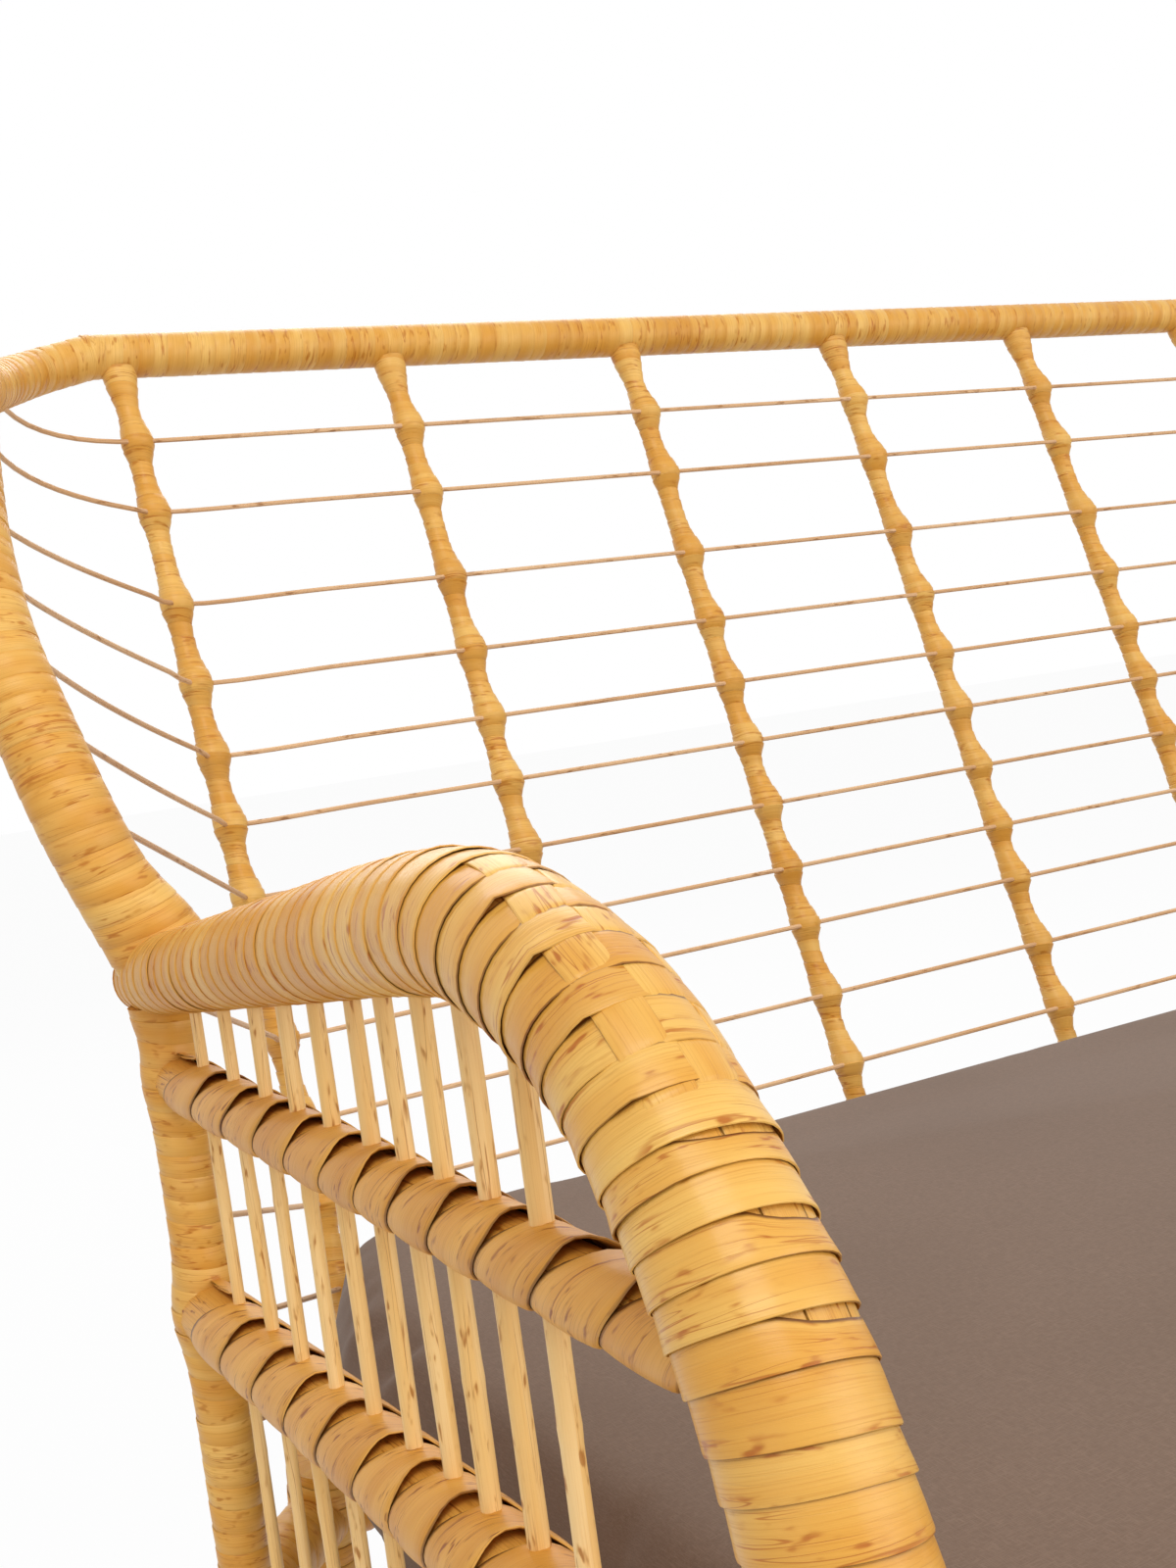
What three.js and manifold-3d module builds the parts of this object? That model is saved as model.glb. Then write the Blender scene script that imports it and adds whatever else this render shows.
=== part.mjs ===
// Rattan garden sofa: a leaning lattice back whose top rail sweeps round into two bent arms, with a loose cushion.
// Millimetres. +X to the right of someone facing the sofa, +Y to its back, +Z up. Origin: floor, under the middle.
import * as THREE from 'three';
import { mergeVertices } from 'three/addons/utils/BufferGeometryUtils.js';
import Module from 'manifold-3d';

// Fits between pieces that touch, and how far a cutter runs past what it cuts.
const clearance = 0.3;
const overrun = 80;

// Overall places.
const overallDepth = 830;
const railHeight = 904;
const leanDegrees = 18.3;
const armOutset = 105;

// Wrapped canes of the frame.
const topRailRadius = 13;
const wingRadius = 17;
const armRearRadius = 17;
const armCrestRadius = 20.5;
const legRadius = 19;
const postRadius = 12;
const midRailRadius = 11.5;
const lowerRailRadius = 15;
const seatRailRadius = 16;
const rearLegRadius = 18;
const roundSides = 12;

// Back lattice.
const spokeCount = 8;
const spokePitch = 170;
const spokeRadius = 6.5;
const spokeSides = 10;
const rodRadius = 1.4;
const rodSides = 6;
const stripWidth = 5;
const stripThickness = 1.4;
const railOverhang = 15;

// Sides.
const armCrestHeight = 627;
const postSetback = 329;
const armTail = 18;
const midRailShare = 0.745;
const lowerRailShare = 0.448;
const stickRadius = 3.5;
const stickSides = 8;

// Seat.
const seatRailHeight = 290;
const slatWidth = 70;
const slatThickness = 12;
const slatOverhang = 12;
const rearLegSplay = 95;
const rearLegOutset = 35;
const rearLegStandUp = 32;
const glideHeight = 8;
const glideRadius = 14;

// Cushion.
const cushionThickness = 104;
const cushionCrown = 14;
const cushionSideGap = 12;
const cushionFrontSetback = 14;
const cushionRearGap = 10;
const cushionPull = 7;
const cushionEdgeRound = 24;
const cushionCornerRadius = 24;
const cushionTurnRadius = 60;
const cushionTurnSetback = 22;
const cushionCornerOutset = 10;

// Distance of each rod below the top rail, as a share of the length of a spoke.
const rodPlaceShares = [0.092, 0.161, 0.249, 0.323, 0.39, 0.452, 0.517, 0.582, 0.639, 0.708, 0.775, 0.843, 0.911];
// How far each rod bows out on its way round the corner: shares of its reach outwards and forwards.
const rodBowShares = [[0.87, 0.1], [0.85, 0.2], [0.83, 0.31], [0.66, 0.42], [0.5, 0.5]];
// Centre line of the wing rail: shares of its reach outwards, forwards and down.
const wingShares = [
  [0, 0, 0],
  [0.33, 0.02, 0.025],
  [0.63, 0.11, 0.06],
  [0.89, 0.27, 0.1],
  [1.08, 0.45, 0.135],
  [1.23, 0.6, 0.19],
  [1.36, 0.735, 0.285],
  [1.43, 0.825, 0.415],
  [1.43, 0.895, 0.55],
  [1.34, 0.95, 0.69],
  [1.24, 0.99, 0.815],
  [1, 1, 1],
];
// Centre line of an arm and its front leg: shares of the run from its tail to the leg, and of the crest height.
const armShares = [
  [0, 0.929],
  [0.167, 0.947],
  [0.431, 0.976],
  [0.594, 0.994],
  [0.699, 1],
  [0.771, 0.988],
  [0.826, 0.97],
  [0.868, 0.945],
  [0.91, 0.907],
  [0.949, 0.856],
  [0.978, 0.793],
  [0.995, 0.7],
  [1, 0.56],
  [1, 0.3],
];
const armCrestShare = 0.4;
const armBendShare = 0.6;
// Places of the sticks between the post and the front leg.
const stickShares = [0.104, 0.187, 0.27, 0.34, 0.409, 0.483, 0.537, 0.598, 0.66, 0.726];
// Rounded edge of the cushion, from its underside to its top: shares of the edge round and of the thickness.
const cushionEdgeShares = [[1, 0], [0.35, 0.05], [0.06, 0.22], [0, 0.45], [0.04, 0.7], [0.3, 0.9], [0.62, 0.97], [1, 1]];
// Rings of the crowned top, as shares of its size.
const cushionTopShares = [0.78, 0.52, 0.26];
// Plan of the side seat rail behind the post: shares of its step inwards and backwards to the rear leg.
const sideRailShares = [[0, -0.5], [0, 0], [0.36, 0.53], [1, 1]];

const lean = THREE.MathUtils.degToRad(leanDegrees);
const halfSpan = ((spokeCount - 1) * spokePitch) / 2;
const topRailY = overallDepth / 2 - topRailRadius;
const legY = legRadius - overallDepth / 2;
const postY = topRailY - postSetback + railOverhang;
const spokeLength = (railHeight - seatRailHeight) / Math.cos(lean);
const rearRailY = topRailY - spokeLength * Math.sin(lean);
const armPlane = halfSpan + armOutset;
const rearLegX = halfSpan + rearLegOutset;
const railEnd = halfSpan + railOverhang;
const rodSetback = spokeRadius + clearance + rodRadius;
const at = (x, y, z) => new THREE.Vector3(x, y, z);

const wasm = await Module();
wasm.setup();

// A closed geometry as a solid that can be joined and cut.
function solidOf(geometry) {
  const bare = geometry.clone();
  bare.deleteAttribute('normal');
  bare.deleteAttribute('uv');
  const merged = mergeVertices(bare, clearance / 100);
  const vertProperties = new Float32Array(merged.attributes.position.array);
  const triVerts = new Uint32Array(merged.index.array);
  return new wasm.Manifold(new wasm.Mesh({ numProp: 3, vertProperties, triVerts }));
}

// A cut or joined solid as a geometry again.
function geometryOf(solid) {
  const { vertProperties, triVerts } = solid.getMesh();
  const geometry = new THREE.BufferGeometry();
  geometry.setAttribute('position', new THREE.BufferAttribute(vertProperties, 3));
  geometry.setIndex(new THREE.BufferAttribute(triVerts, 1));
  const faceted = geometry.toNonIndexed();
  faceted.computeVertexNormals();
  return faceted;
}

const cut = (solid, ...cutters) => cutters.reduce((rest, cutter) => rest.subtract(cutter), solid);
const join = (solids) => solids.reduce((sum, solid) => sum.add(solid));
const mirrored = (solid) => solid.transform(new THREE.Matrix4().makeScale(-1, 1, 1).elements);

// A bent cane: rings of points round a curve, with a radius for each share of its length, closed at both ends.
function bentCane(curve, radiusAt, ringCount, sides) {
  const frames = curve.computeFrenetFrames(ringCount, false);
  const positions = [];
  const indices = [];
  for (let ring = 0; ring <= ringCount; ring++) {
    const centre = curve.getPointAt(ring / ringCount);
    const radius = radiusAt(ring / ringCount);
    for (let side = 0; side < sides; side++) {
      const angle = (side / sides) * 2 * Math.PI;
      const point = centre
        .clone()
        .addScaledVector(frames.normals[ring], radius * Math.cos(angle))
        .addScaledVector(frames.binormals[ring], radius * Math.sin(angle));
      positions.push(...point);
    }
  }
  for (let ring = 0; ring < ringCount; ring++) {
    for (let side = 0; side < sides; side++) {
      const next = (side + 1) % sides;
      const [a, b] = [ring * sides + side, ring * sides + next];
      indices.push(a, b, b + sides, a, b + sides, a + sides);
    }
  }
  for (let side = 1; side < sides - 1; side++) {
    const last = ringCount * sides;
    indices.push(0, side + 1, side, last, last + side, last + side + 1);
  }
  const geometry = new THREE.BufferGeometry();
  geometry.setAttribute('position', new THREE.Float32BufferAttribute(positions, 3));
  geometry.setIndex(indices);
  return geometry;
}

// A straight cane from one point to another.
function straightCane(from, to, radius, sides = roundSides) {
  const along = to.clone().sub(from);
  const geometry = new THREE.CylinderGeometry(radius, radius, along.length(), sides);
  const turn = new THREE.Quaternion().setFromUnitVectors(at(0, 1, 0), along.clone().normalize());
  geometry.applyQuaternion(turn);
  geometry.translate(...from.clone().add(to).divideScalar(2));
  return geometry;
}

// The share of a curve's length at which a measure of its points first passes a value.
function crossing(curve, measure, value, samples = 400) {
  const before = measure(curve.getPointAt(0)) < value;
  for (let step = 1; step <= samples; step++) {
    if (measure(curve.getPointAt(step / samples)) < value !== before) {
      const near = measure(curve.getPointAt((step - 1) / samples)) - value;
      const far = measure(curve.getPointAt(step / samples)) - value;
      return (step - 1 + near / (near - far)) / samples;
    }
  }
  return 1;
}

// Finishes: colour, roughness and metalness of each material.
const finishes = {
  wrappedCane: { color: 0xc9974f, roughness: 0.42, metalness: 0 },
  peeledCane: { color: 0xd2a05a, roughness: 0.5, metalness: 0 },
  thinRod: { color: 0xb58a62, roughness: 0.55, metalness: 0 },
  slatWood: { color: 0xb98a52, roughness: 0.65, metalness: 0 },
  cushionCloth: { color: 0x87735f, roughness: 0.95, metalness: 0 },
  glidePlastic: { color: 0x2b2622, roughness: 0.6, metalness: 0 },
};

function addPiece(group, name, shape, finish) {
  const geometry = shape.isBufferGeometry ? shape : geometryOf(shape);
  const mesh = new THREE.Mesh(geometry, new THREE.MeshStandardMaterial(finishes[finish]));
  mesh.name = name;
  group.add(mesh);
  return mesh;
}

const sofa = new THREE.Group();
const back = new THREE.Group();
const seat = new THREE.Group();
const rightSide = new THREE.Group();
const leftSide = new THREE.Group();
leftSide.scale.x = -1;
sofa.add(back, seat, rightSide, leftSide);

// The back's own frame stands on the rear seat rail: z runs up the spokes and y out of the back.
back.position.set(0, rearRailY, seatRailHeight);
back.rotation.x = -lean;
back.updateMatrixWorld(true);
const intoBack = back.matrixWorld.clone().invert();
const seenFromBack = (solid) => solid.transform(intoBack.elements);

// Both sides are alike, so each piece is made for the right and shown again, mirrored, on the left.
function addPair(name, shape, finish) {
  const geometry = shape.isBufferGeometry ? shape : geometryOf(shape);
  addPiece(rightSide, `right_${name}`, geometry, finish);
  addPiece(leftSide, `left_${name}`, geometry, finish);
}

// Arm and front leg: one thick wrapped cane, level along the arm and bent down to the floor.
const armTailY = postY + armTail;
const armPoints = armShares.map(([run, height]) =>
  at(armPlane, THREE.MathUtils.lerp(armTailY, legY, run), armCrestHeight * height));
armPoints.push(at(armPlane, legY, glideHeight));
const armCurve = new THREE.CatmullRomCurve3(armPoints, false, 'centripetal');
function armRadius(share) {
  const swell = THREE.MathUtils.smoothstep(share, 0, armCrestShare);
  const taper = THREE.MathUtils.smoothstep(share, armCrestShare, armBendShare);
  return armRearRadius + (armCrestRadius - armRearRadius) * swell + (legRadius - armCrestRadius) * taper;
}
const armRings = 36;
const armCane = (grow) => bentCane(armCurve, (share) => armRadius(share) + grow, armRings, roundSides);
const armCutter = solidOf(armCane(clearance));
const armHeightAt = (y) => armCurve.getPointAt(crossing(armCurve, (point) => -point.y, -y)).z;
const falling = new THREE.CatmullRomCurve3([...armPoints].reverse(), false, 'centripetal');
const armReachAt = (z) => falling.getPointAt(crossing(falling, (point) => point.z, z)).y;
addPair('arm', armCane(0), 'wrappedCane');

// Side seat rail: straight from the front leg to the post, then bent in to the rear leg.
const sideRailPoints = [at(armPlane, legY, seatRailHeight)];
for (const [inwards, backwards] of sideRailShares) {
  const x = THREE.MathUtils.lerp(armPlane, rearLegX, inwards);
  sideRailPoints.push(at(x, THREE.MathUtils.lerp(postY, rearRailY, backwards), seatRailHeight));
}
const sideRailCurve = new THREE.CatmullRomCurve3(sideRailPoints, false, 'centripetal');
const sideRailRings = 16;
const sideRailCane = (grow) => bentCane(sideRailCurve, () => seatRailRadius + grow, sideRailRings, roundSides);
const sideRailCutter = solidOf(sideRailCane(clearance));

// Rear leg: splayed backwards, cut level at the foot, standing up a little past the rails.
const legTop = at(rearLegX, rearRailY, seatRailHeight);
const legRun = at(0, -rearLegSplay, seatRailHeight).normalize();
const legFoot = at(rearLegX, rearRailY + rearLegSplay, 0);
const legStart = legFoot.clone().addScaledVector(legRun, -overrun);
const legEnd = legTop.clone().addScaledVector(legRun, rearLegStandUp);
const belowGlide = new THREE.BoxGeometry(overallDepth, overallDepth, overallDepth);
belowGlide.translate(rearLegX, rearRailY, glideHeight - overallDepth / 2);
const rearLeg = cut(solidOf(straightCane(legStart, legEnd, rearLegRadius)), solidOf(belowGlide));
const rearLegCutter = solidOf(straightCane(legStart, legEnd, rearLegRadius + clearance));
addPair('rear_leg', rearLeg, 'wrappedCane');
addPair('seat_rail', cut(solidOf(sideRailCane(0)), armCutter, rearLegCutter), 'wrappedCane');

// Side post: from the side seat rail up to the tail of the arm.
const postFoot = at(armPlane, postY, seatRailHeight);
const postHead = at(armPlane, postY, armHeightAt(postY));
const postCutter = solidOf(straightCane(postFoot, postHead, postRadius + clearance));
addPair('side_post', cut(solidOf(straightCane(postFoot, postHead, postRadius)), armCutter, sideRailCutter),
  'wrappedCane');

// Sticks: peeled canes from the side seat rail up to the arm, held in holes through the two rails between.
const stickLines = stickShares.map((share) => {
  const y = THREE.MathUtils.lerp(postY, legY, share);
  return [at(armPlane, y, seatRailHeight), at(armPlane, y, armHeightAt(y))];
});
stickLines.forEach(([foot, head], index) => {
  const stick = solidOf(straightCane(foot, head, stickRadius, stickSides));
  addPair(`stick_${index + 1}`, cut(stick, armCutter, sideRailCutter), 'peeledCane');
});
const stickHoles = stickLines.map(([foot, head]) =>
  solidOf(straightCane(foot, head, stickRadius + clearance, stickSides)));

// Mid rail and lower rail: level canes from the post to the front leg, with a hole for each stick. Their
// heights are shares of the rise from the seat rails to the crest of the arm.
function pierced(heightShare, radius) {
  const height = THREE.MathUtils.lerp(seatRailHeight, armCrestHeight, heightShare);
  const rear = at(armPlane, postY - postRadius - clearance, height);
  const front = at(armPlane, armReachAt(height), height);
  return cut(solidOf(straightCane(rear, front, radius)), armCutter, ...stickHoles);
}
addPair('mid_rail', pierced(midRailShare, midRailRadius), 'wrappedCane');
addPair('lower_rail', pierced(lowerRailShare, lowerRailRadius), 'wrappedCane');

// Top rail: straight over the heads of the spokes.
const topRailLine = (reach) => [at(-reach, 0, spokeLength), at(reach, 0, spokeLength)];
const topRailCutter = solidOf(straightCane(...topRailLine(railEnd + clearance), topRailRadius + clearance));
addPiece(back, 'top_rail', straightCane(...topRailLine(railEnd), topRailRadius), 'wrappedCane');

// Wing rail: carries the top rail round the corner, forwards and down on to the tail of the arm.
const wingStart = at(railEnd + clearance, topRailY, railHeight);
const wingEnd = at(armPlane, postY, postHead.z + armRearRadius / 2);
const wingPoints = wingShares.map(([out, forward, down]) =>
  at(
    THREE.MathUtils.lerp(wingStart.x, wingEnd.x, out),
    THREE.MathUtils.lerp(wingStart.y, wingEnd.y, forward),
    THREE.MathUtils.lerp(wingStart.z, wingEnd.z, down),
  ));
const wingCurve = new THREE.CatmullRomCurve3(wingPoints, false, 'centripetal');
const wingSwell = (share) => THREE.MathUtils.lerp(topRailRadius, wingRadius, THREE.MathUtils.smoothstep(share, 0, 1 / 2));
const wingRings = 26;
const wingCane = (grow) => bentCane(wingCurve, (share) => wingSwell(share) + grow, wingRings, roundSides);
const wingCutter = solidOf(wingCane(clearance));
addPair('wing_rail',
  cut(solidOf(wingCane(0)), armCutter, topRailCutter.transform(back.matrixWorld.elements)), 'wrappedCane');

// Spokes: thin wrapped canes, side by side, from the rear seat rail up to the top rail.
const rearRailLine = [at(-rearLegX, 0, 0), at(rearLegX, 0, 0)];
const rearRailCutter = solidOf(straightCane(...rearRailLine, seatRailRadius + clearance));
const spokeBlank = straightCane(at(0, 0, 0), at(0, 0, spokeLength), spokeRadius, spokeSides);
const spoke = geometryOf(cut(solidOf(spokeBlank), rearRailCutter, topRailCutter));
for (let index = 0; index < spokeCount; index++) {
  addPiece(back, `spoke_${index + 1}`, spoke, 'wrappedCane').position.x = index * spokePitch - halfSpan;
}

// Rods of the back: tied across the fronts of the spokes by a strip that runs down each spoke.
const rodHeights = rodPlaceShares.map((share) => spokeLength * (1 - share));
const straightRods = rodHeights.map((z) =>
  solidOf(straightCane(at(-halfSpan, -rodSetback, z), at(halfSpan, -rodSetback, z), rodRadius, rodSides)));
const stripLength = rodHeights[0] - rodHeights[rodHeights.length - 1] + 2 * rodRadius;
const strips = [];
for (let index = 0; index < spokeCount; index++) {
  const strip = new THREE.BoxGeometry(stripWidth, stripThickness, stripLength);
  const inset = index === 0 ? stripWidth / 2 : index === spokeCount - 1 ? -stripWidth / 2 : 0;
  const x = index * spokePitch - halfSpan + inset;
  strip.translate(x, -rodSetback - rodRadius, rodHeights[0] + rodRadius - stripLength / 2);
  strips.push(solidOf(strip));
}
addPiece(back, 'back_rod_net', join([...straightRods, ...strips]), 'thinRod');

// Rods of a wing: each runs on round the corner in its own plane, square to the spokes, to the inner
// face of the wing rail or the post, where a binding line ties their ends.
const wingEdge = new THREE.CurvePath();
wingEdge.add(wingCurve);
wingEdge.add(new THREE.LineCurve3(wingEnd, postFoot));
const edgeInBack = (share) => wingEdge.getPoint(share).applyMatrix4(intoBack);
const edgeLength = { getPointAt: edgeInBack };
const wingShare = wingCurve.getLength() / wingEdge.getLength();
const tailInBack = postHead.clone().applyMatrix4(intoBack);
function carrierRadius(share, height) {
  if (share < wingShare) return wingSwell(share / wingShare);
  return Math.abs(height - tailInBack.z) < 2 * armRearRadius ? armRearRadius : postRadius;
}
const rodSteps = 5;
const bindingEnds = [];
const wingRods = rodHeights.map((z, row) => {
  const share = crossing(edgeLength, (point) => -point.z, -z);
  const end = edgeInBack(share);
  end.x -= carrierRadius(share, z) + clearance + rodRadius + stripThickness;
  const start = at(halfSpan + clearance + rodRadius, -rodSetback, z);
  const [outShare, forwardShare] = rodBowShares[Math.min(row, rodBowShares.length - 1)];
  const bow = at(
    THREE.MathUtils.lerp(start.x, end.x, outShare),
    THREE.MathUtils.lerp(start.y, end.y, forwardShare),
    z,
  );
  bindingEnds.push(end);
  const curve = new THREE.QuadraticBezierCurve3(start, bow, end);
  return solidOf(bentCane(curve, () => rodRadius, rodSteps, rodSides));
});
const bindingCurve = new THREE.CatmullRomCurve3(bindingEnds, false, 'centripetal');
const bindingRings = 2 * rodHeights.length;
const binding = solidOf(bentCane(bindingCurve, () => rodRadius + clearance, bindingRings, rodSides));
const cornerSpokeCutter = solidOf(straightCane(
  at(halfSpan, 0, -overrun),
  at(halfSpan, 0, spokeLength + overrun),
  spokeRadius + clearance,
  spokeSides,
));
const wingNet = cut(
  join([...wingRods, binding]),
  cornerSpokeCutter,
  seenFromBack(wingCutter),
  seenFromBack(armCutter),
  seenFromBack(postCutter),
);
const wingNetGeometry = geometryOf(wingNet);
wingNetGeometry.applyMatrix4(back.matrixWorld);
addPair('rod_net', wingNetGeometry, 'thinRod');

// Seat rails across the front and the rear.
const frontRailLine = [at(-armPlane, legY, seatRailHeight), at(armPlane, legY, seatRailHeight)];
const frontRail = solidOf(straightCane(...frontRailLine, seatRailRadius));
const rearRail = solidOf(straightCane(...rearRailLine, seatRailRadius)).transform(back.matrixWorld.elements);
const bothSides = (...cutters) => [...cutters, ...cutters.map(mirrored)];
addPiece(seat, 'front_seat_rail', cut(frontRail, ...bothSides(armCutter, sideRailCutter)), 'wrappedCane');
addPiece(seat, 'rear_seat_rail', cut(rearRail, ...bothSides(rearLegCutter, sideRailCutter)), 'wrappedCane');

// Slats: flat boards in the middle of each bay of the back, lying on the front and rear seat rails.
const slatLength = rearRailY - legY + 2 * slatOverhang;
const slatBase = seatRailHeight + seatRailRadius + clearance;
for (let index = 0; index < spokeCount - 1; index++) {
  const slat = addPiece(seat, `seat_slat_${index + 1}`,
    new THREE.BoxGeometry(slatWidth, slatLength, slatThickness), 'slatWood');
  slat.position.set(
    (index + 1 / 2) * spokePitch - halfSpan,
    (rearRailY + legY) / 2,
    slatBase + slatThickness / 2,
  );
}

// Cushion: one crowned pad, its rear edge leaning with the back and its corners following the wings.
const cushionBase = slatBase + slatThickness + clearance;
const cushionHalfWidth = armPlane - legRadius - cushionSideGap;
const cushionFrontY = cushionFrontSetback - overallDepth / 2;
const netFront = (rodSetback + rodRadius + stripThickness) / Math.cos(lean) + cushionRearGap;
const cushionRearAt = (z) => rearRailY + (z - seatRailHeight) * Math.tan(lean) - netFront;
const cushionRearY = cushionRearAt(cushionBase + cushionThickness);
const cushionMiddle = at(0, (cushionRearY + cushionFrontY) / 2, 0);
const cushionCorners = [
  [cushionHalfWidth, cushionFrontY, cushionCornerRadius],
  [cushionHalfWidth, postY - cushionTurnSetback, cushionTurnRadius],
  [halfSpan + spokeRadius + cushionCornerOutset, cushionRearY, cushionCornerRadius],
];
function cushionPlan() {
  const turns = [...cushionCorners, ...[...cushionCorners].reverse().map(([x, y, radius]) => [-x, y, radius])];
  const plan = new THREE.Shape().moveTo(0, cushionFrontY);
  turns.forEach(([x, y, radius], index) => {
    const corner = new THREE.Vector2(x, y);
    const neighbours = [turns[index - 1] ?? [0, cushionFrontY], turns[index + 1] ?? [0, cushionFrontY]];
    const [before, after] = neighbours.map(([nx, ny]) =>
      corner.clone().add(new THREE.Vector2(nx, ny).sub(corner).setLength(radius)));
    plan.lineTo(before.x, before.y).quadraticCurveTo(corner.x, corner.y, after.x, after.y);
  });
  return plan.lineTo(0, cushionFrontY);
}
const cushionSpots = 56;
const cushionRim = cushionPlan().getSpacedPoints(cushionSpots).slice(0, cushionSpots);
const cushionHalfDepth = (cushionRearY - cushionFrontY) / 2;
// A point of the rim, moved in by an inset, shrunk towards the middle, pulled in at mid-edge and leant at the rear.
function cushionPoint(spot, inset, share, height) {
  const out = at(spot.x, spot.y, 0).sub(cushionMiddle);
  const [nx, ny] = [out.x / cushionHalfWidth, out.y / cushionHalfDepth];
  const x = out.x - nx * (inset + cushionPull * (1 - ny * ny) * Math.abs(nx));
  const y = out.y - ny * (inset + cushionPull * (1 - nx * nx) * Math.abs(ny));
  const rearward = Math.max(0, ny * share);
  const leant = (height - cushionThickness) * Math.tan(lean) * rearward * rearward;
  return at(x * share, cushionMiddle.y + y * share + leant, cushionBase + height);
}
const cushionRings = [
  ...[...cushionTopShares].reverse().map((share) => [cushionEdgeRound, share, 0]),
  ...cushionEdgeShares.map(([inset, height]) => [inset * cushionEdgeRound, 1, height * cushionThickness]),
  ...cushionTopShares.map((share) => [
    cushionEdgeRound,
    share,
    cushionThickness + cushionCrown * (1 - share ** 2) ** 2,
  ]),
];
const cushionPositions = [];
for (const [inset, share, height] of cushionRings) {
  for (const spot of cushionRim) cushionPositions.push(...cushionPoint(spot, inset, share, height));
}
const cushionIndices = [];
for (let ring = 0; ring < cushionRings.length - 1; ring++) {
  for (let spot = 0; spot < cushionSpots; spot++) {
    const next = (spot + 1) % cushionSpots;
    const [a, b] = [ring * cushionSpots + spot, ring * cushionSpots + next];
    cushionIndices.push(a, b, b + cushionSpots, a, b + cushionSpots, a + cushionSpots);
  }
}
const undersideCentre = cushionPositions.length / 3;
const crownCentre = undersideCentre + 1;
cushionPositions.push(...at(0, cushionMiddle.y, cushionBase));
cushionPositions.push(...at(0, cushionMiddle.y, cushionBase + cushionThickness + cushionCrown));
for (let spot = 0; spot < cushionSpots; spot++) {
  const next = (spot + 1) % cushionSpots;
  const lastRing = (cushionRings.length - 1) * cushionSpots;
  cushionIndices.push(undersideCentre, next, spot, crownCentre, lastRing + spot, lastRing + next);
}
const cushion = new THREE.BufferGeometry();
cushion.setAttribute('position', new THREE.Float32BufferAttribute(cushionPositions, 3));
cushion.setIndex(cushionIndices);
addPiece(seat, 'seat_cushion', cushion, 'cushionCloth');

// Glides: a plastic disc under each leg.
const glide = new THREE.CylinderGeometry(glideRadius, glideRadius, glideHeight, roundSides);
glide.rotateX(Math.PI / 2);
for (const [name, x, y] of [['front_glide', armPlane, legY], ['rear_glide', rearLegX, legFoot.y]]) {
  const placed = glide.clone();
  placed.translate(x, y, glideHeight / 2);
  addPair(name, placed, 'glidePlastic');
}

export default sofa;
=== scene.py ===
import math
import bmesh
import bpy
import numpy as np
from mathutils import Matrix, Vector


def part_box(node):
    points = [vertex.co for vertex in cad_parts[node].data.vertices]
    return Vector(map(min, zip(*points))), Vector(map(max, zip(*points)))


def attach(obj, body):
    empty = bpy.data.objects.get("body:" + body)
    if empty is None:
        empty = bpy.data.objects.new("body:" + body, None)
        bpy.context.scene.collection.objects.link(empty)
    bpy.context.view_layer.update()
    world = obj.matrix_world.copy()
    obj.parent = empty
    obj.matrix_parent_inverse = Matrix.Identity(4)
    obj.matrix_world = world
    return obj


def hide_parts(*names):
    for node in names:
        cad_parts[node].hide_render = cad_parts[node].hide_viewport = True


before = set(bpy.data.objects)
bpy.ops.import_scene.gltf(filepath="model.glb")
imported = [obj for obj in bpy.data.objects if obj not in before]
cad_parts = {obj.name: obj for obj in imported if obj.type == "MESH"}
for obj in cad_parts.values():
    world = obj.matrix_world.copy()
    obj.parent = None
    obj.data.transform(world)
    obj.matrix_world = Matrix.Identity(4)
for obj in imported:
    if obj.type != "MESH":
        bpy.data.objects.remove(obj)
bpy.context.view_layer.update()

# The place the sofa is looked at from: close by the outside of its left arm, at about the height of
# the arm, looking across the seat to the back. A pale studio floor and sky light it softly.
eye = (-0.888, -0.6783, 0.6888)
eye_right = (0.8747, -0.4667, -0.1311)
eye_up = (0.1452, -0.0057, 0.9893)
eye_ahead = (0.4625, 0.8844, -0.0628)
lens_length = 42.4

camera_data = bpy.data.cameras.new("viewpoint")
camera_data.lens = lens_length
camera_data.sensor_width = 36.0
camera_data.sensor_fit = "AUTO"
camera_data.clip_start = 0.02
camera_data.clip_end = 60.0
camera = bpy.data.objects.new("viewpoint", camera_data)
turned = np.eye(4)
turned[:3, :3] = np.stack([eye_right, eye_up, -np.array(eye_ahead)], axis=1)
turned[:3, 3] = eye
camera.matrix_world = Matrix(turned.tolist())
bpy.context.scene.collection.objects.link(camera)
bpy.context.scene.camera = camera
bpy.context.scene.view_settings.view_transform = "Standard"


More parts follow.
